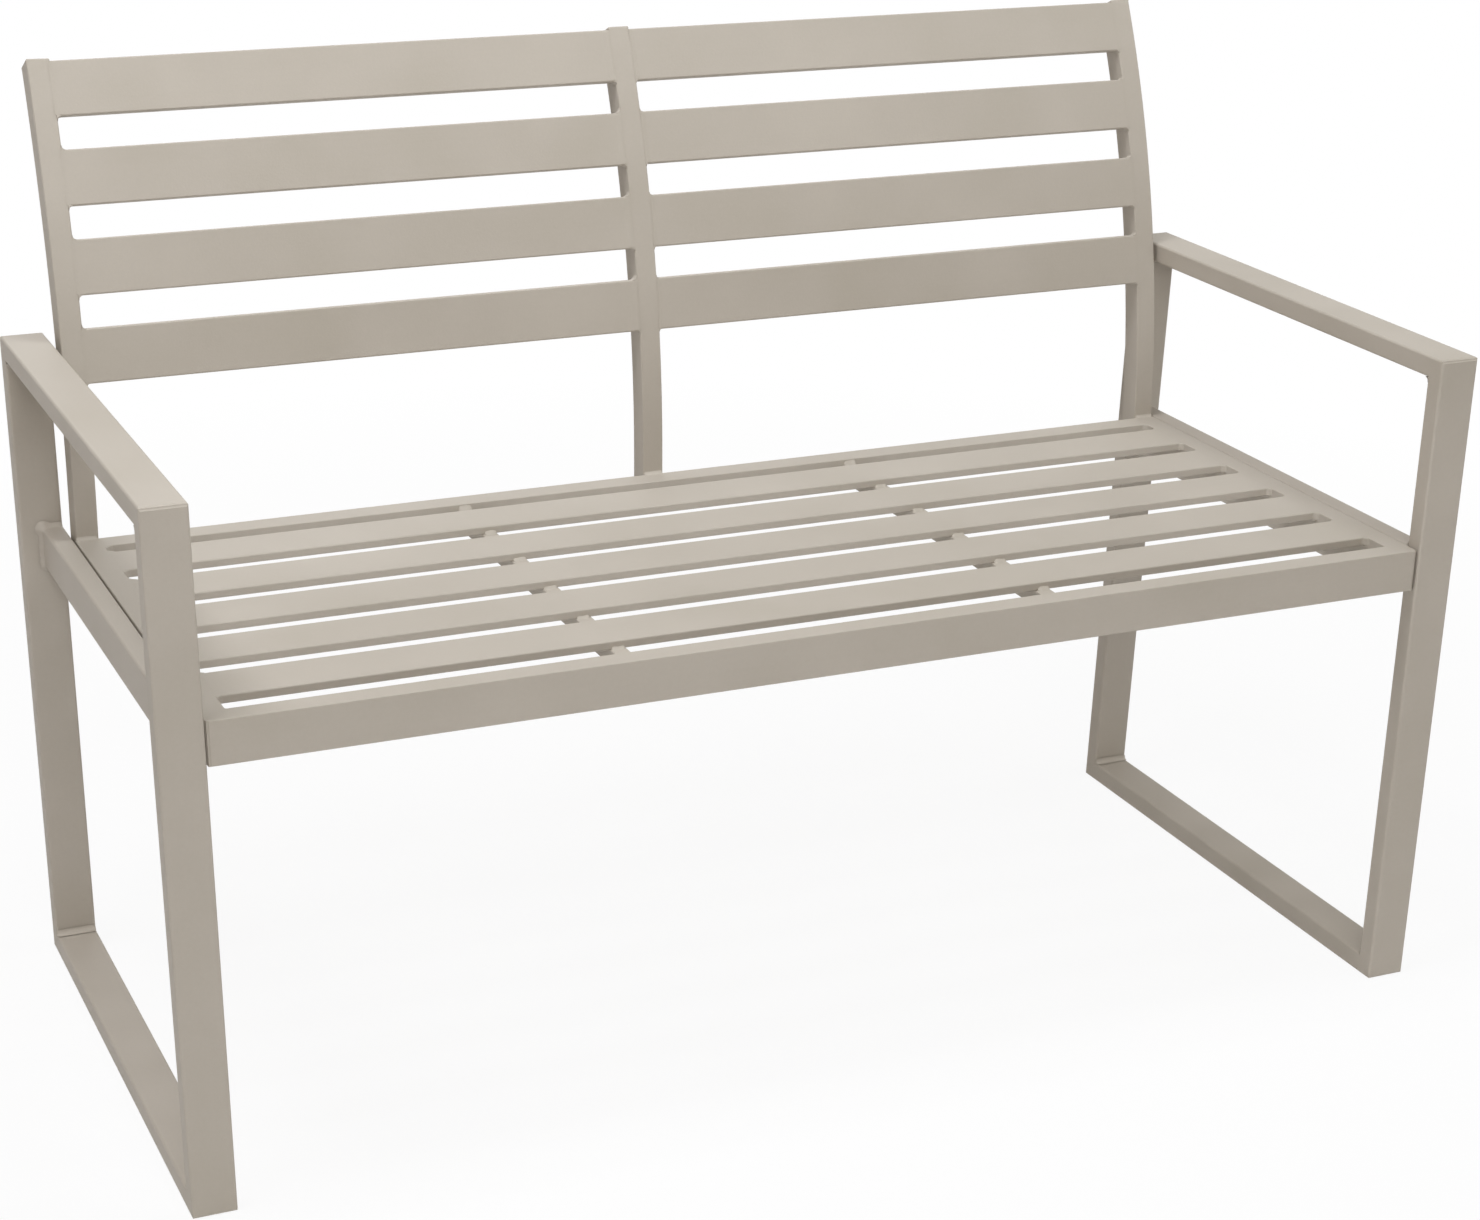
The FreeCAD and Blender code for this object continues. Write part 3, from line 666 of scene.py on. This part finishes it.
# %% Weld the feet of the stiles
STILE_WIDTH = 21
FOOT_FILLET, FOOT_BELLY = 3.0, 0.3
foot_welds = []
back_y, top_z = rear_high[1], rear_high[2]
rail_side = node_box("seat_right_rail")[1][0]
for hand in (-1, 0, 1):
    reach = abs(hand) * rail_side
    edges = (hand * reach - STILE_WIDTH * (hand + 1) / 2,
             hand * reach + STILE_WIDTH * (1 - hand) / 2)
    foot_welds.append(straight(fillet(FOOT_FILLET, FOOT_BELLY), (edges[0] + 0.6, back_y, top_z),
                               (edges[1] - 0.6, back_y, top_z), -Y, Z))
    for edge_x, way in zip(edges, (-1, 1)):
        if way != hand:
            foot_welds.append(straight(fillet(BEAD, BEAD_BELLY),
                                       (edge_x, back_y, rear_low[2] + 0.5),
                                       (edge_x, back_y, top_z - 0.5), way * X, Y))
make_piece("stile_foot_welds", foot_welds)

# %% [markdown]
# ## The floor
#
# The bench stands on a plain white floor, which is one large sheet of studio paper. More light
# would make it white, but would also bleach the bench. So a share of the paper is plain white by
# itself for whoever looks at it, and the rest still takes the bench's soft shadow. The share
# grows with the distance from the bench, until the floor is as white as the backdrop and no
# horizon shows.

# %% Lay the floor
FLOOR_HALF = 30
floor_mesh = bpy.data.meshes.new("studio_floor")
floor_corners = [(-FLOOR_HALF, -FLOOR_HALF, 0), (FLOOR_HALF, -FLOOR_HALF, 0),
                 (FLOOR_HALF, FLOOR_HALF, 0), (-FLOOR_HALF, FLOOR_HALF, 0)]
floor_mesh.from_pydata(floor_corners, [], [(0, 1, 2, 3)])
floor = bpy.data.objects.new("studio_floor", floor_mesh)
bpy.context.collection.objects.link(floor)
print("a floor of", 2 * FLOOR_HALF, "m")

# %% Make the studio paper
WHITE_NEAR, WHITE_FAR = 0.9, 1.0
SHADOW_REACH, PLAIN_FROM = 0.9, 2.2


def in_plain_sight(owner):
    """1 for a ray that comes from the camera, off a gloss or through glass, and 0 for any other."""
    rays = add_node(owner, "LightPath").outputs
    either = add_node(owner, "Math", {"operation": "MAXIMUM"}, _0=rays["Is Camera Ray"],
                      _1=rays["Is Glossy Ray"])
    return add_node(owner, "Math", {"operation": "MAXIMUM"}, _0=either.outputs[0],
                    _1=rays["Is Transmission Ray"]).outputs[0]


paper, place = new_material("white_studio_paper")
# clumps of fibres are a few millimetres across, drawn about 16 mm across so that they show
fibres = add_node(paper, "TexNoise", Vector=place, Scale=60.0, Detail=2.0)
tone = add_node(paper, "MapRange", Value=fibres.outputs["Fac"], To_Min=0.88, To_Max=0.92)
shade = add_node(paper, "BsdfDiffuse", Color=tone.outputs["Result"])
glow = add_node(paper, "Emission", Color=(1, 1, 1, 1), Strength=1.0)
away = add_node(paper, "VectorMath", {"operation": "LENGTH"}, _0=place)
share = add_node(paper, "MapRange", Value=away.outputs["Value"], From_Min=SHADOW_REACH,
                 From_Max=PLAIN_FROM, To_Min=WHITE_NEAR, To_Max=WHITE_FAR)
seen = add_node(paper, "Math", {"operation": "MULTIPLY"}, _0=in_plain_sight(paper),
                _1=share.outputs["Result"])
mix = add_node(paper, "MixShader", Fac=seen.outputs[0], _1=shade.outputs[0], _2=glow.outputs[0])
finish_material(paper, mix.outputs[0])
floor_mesh.materials.append(paper)
print("made", paper.name)

# %% [markdown]
# ## The light
#
# A picture of a whole piece of furniture is lit by several soft boxes. Two small ones hang almost
# overhead: they make the seat's top the lightest face, and draw the armrests' soft shadows on the
# side rails. A large one in front stands just high enough to reach into the openings and light
# the slats' front edges. Weak ones at the left, at the right and behind lift what the others
# leave dark. The world adds a little warm light from all sides, and is plain white for whoever
# looks at it.

# %% Surround the bench with light
WORLD_LIGHT, WORLD_STRENGTH = (1.0, 0.87, 0.785, 1), 0.2
world = bpy.data.worlds.new("white_studio")
bpy.context.scene.world = world
world.use_nodes = True
world.node_tree.nodes.clear()
plain = add_node(world, "Background", Color=WORLD_LIGHT, Strength=WORLD_STRENGTH)
white = add_node(world, "Background", Color=(1, 1, 1, 1), Strength=1.0)
mix = add_node(world, "MixShader", Fac=in_plain_sight(world), _1=plain.outputs[0],
               _2=white.outputs[0])
add_node(world, "OutputWorld", Surface=mix.outputs[0])
print("made", world.name)

# %% Place the soft boxes
AIM = (0, 0, 0.5)
# place in metres, side in metres, power in watts, colour
SOFTBOXES = {
    "overhead_left_softbox": ((-1.2, -0.3, 3.6), 1.2, 55, (0.94, 0.955, 1.0)),
    "overhead_right_softbox": ((0.8, -0.3, 3.6), 1.0, 33, (0.895, 0.96, 1.0)),
    "front_softbox": ((-0.8, -4.0, 2.3), 2.0, 63, (0.967, 0.987, 1.0)),
    "left_softbox": ((-3.6, -1.4, 2.2), 2.5, 8, (1.0, 1.0, 1.0)),
    "right_softbox": ((3.6, -1.0, 2.2), 2.5, 11, (1.0, 1.0, 1.0)),
    "rear_softbox": ((0.0, 3.8, 2.6), 2.5, 24, (1.0, 1.0, 1.0)),
}


def soft_light(name, place, size, power, colour):
    """A square soft light at a place, turned towards the bench."""
    lamp = bpy.data.lights.new(name, "AREA")
    lamp.color = colour
    lamp.size = size
    lamp.energy = power
    light = bpy.data.objects.new(name, lamp)
    aim = (Vector(AIM) - Vector(place)).to_track_quat("-Z", "Y")
    light.matrix_world = Matrix.Translation(place) @ aim.to_matrix().to_4x4()
    bpy.context.collection.objects.link(light)


for name, softbox in SOFTBOXES.items():
    soft_light(name, *softbox)
bpy.context.scene.view_settings.view_transform = "Standard"
print("lights", [light.name for light in bpy.data.lights])
